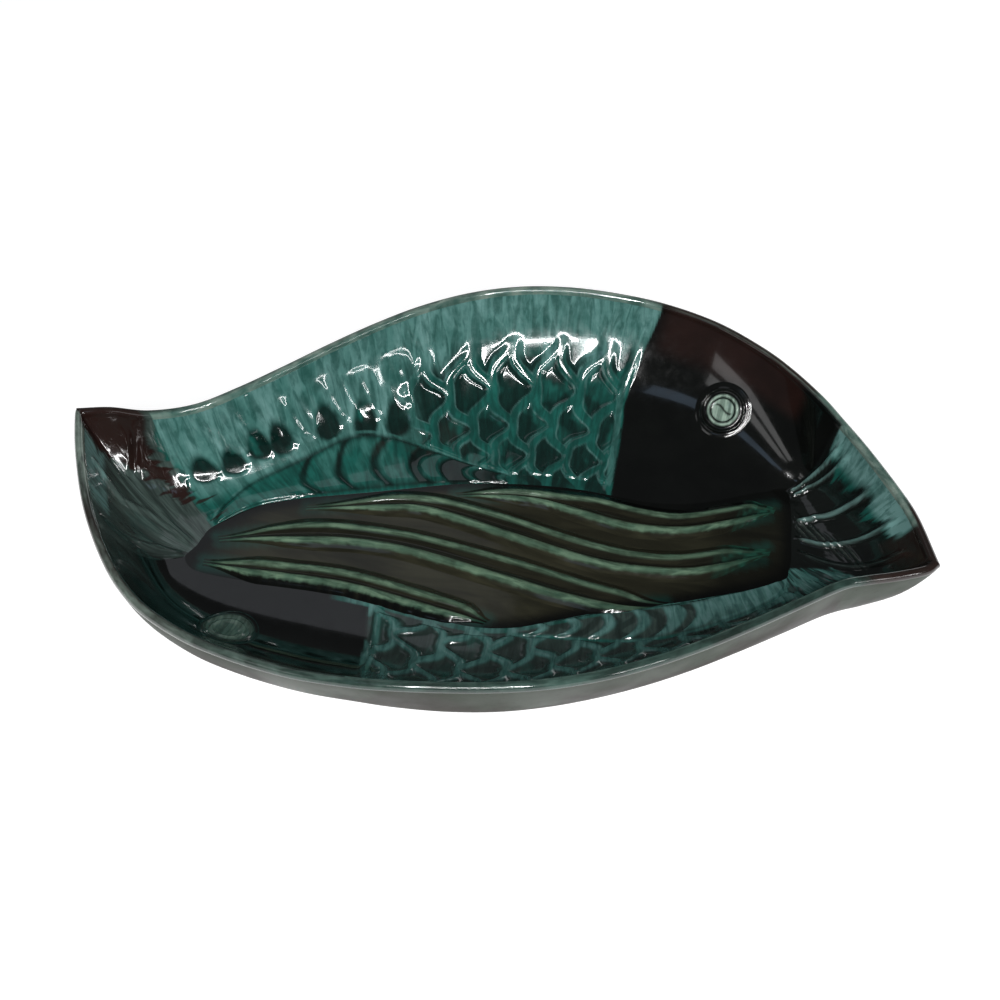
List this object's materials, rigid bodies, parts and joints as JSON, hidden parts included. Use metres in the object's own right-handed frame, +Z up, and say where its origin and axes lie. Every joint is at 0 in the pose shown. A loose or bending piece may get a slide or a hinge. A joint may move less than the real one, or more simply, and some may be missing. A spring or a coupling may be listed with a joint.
{
  "type": "fish shaped platter",
  "caption": "Deep glazed earthenware platter shaped as two fish lying head to tail, with moulded scales, fins, eyes and ribs inside and a foot ring below.",
  "frame": {"origin": "middle of the outline's box, on the plane the foot ring stands on", "axes": "+X along the length from the lower fish's nose end towards the upper fish's nose end, +Y across towards the upper fish's back, +Z up out of the bowl"},
  "size_m": [0.41, 0.2581, 0.063],
  "materials": {
    "dark_glaze": "glossy dark olive brown glaze",
    "foot_glaze": "glossy grey brown glaze, wiped at the foot",
    "lip_glaze": "glossy glaze broken brown and sage on the lip",
    "black_glaze": "glossy near-black glaze",
    "teal_glaze": "glossy flowing teal glaze, dark in the hollows",
    "fan_glaze": "glossy pale grey green glaze",
    "sage_glaze": "glossy sage glaze on the raised edges"
  },
  "bodies": {
    "root": {"floor_slab": "dark_glaze", "foot_ring": "foot_glaze", "upper_rim": "lip_glaze", "lower_rim": "lip_glaze", "upper_head": "black_glaze", "upper_body": "teal_glaze", "upper_tail": "fan_glaze", "lower_head": "black_glaze", "lower_body": "teal_glaze", "lower_tail": "fan_glaze", "upper_belly_fin": "teal_glaze", "lower_belly_fin": "teal_glaze", "upper_gill_ridge": "fan_glaze", "lower_gill_ridge": "fan_glaze", "upper_eye": "fan_glaze", "lower_eye": "fan_glaze", "rib_1": "sage_glaze", "rib_2": "sage_glaze", "rib_3": "sage_glaze", "rib_4": "sage_glaze"}
  },
  "joints": []
}
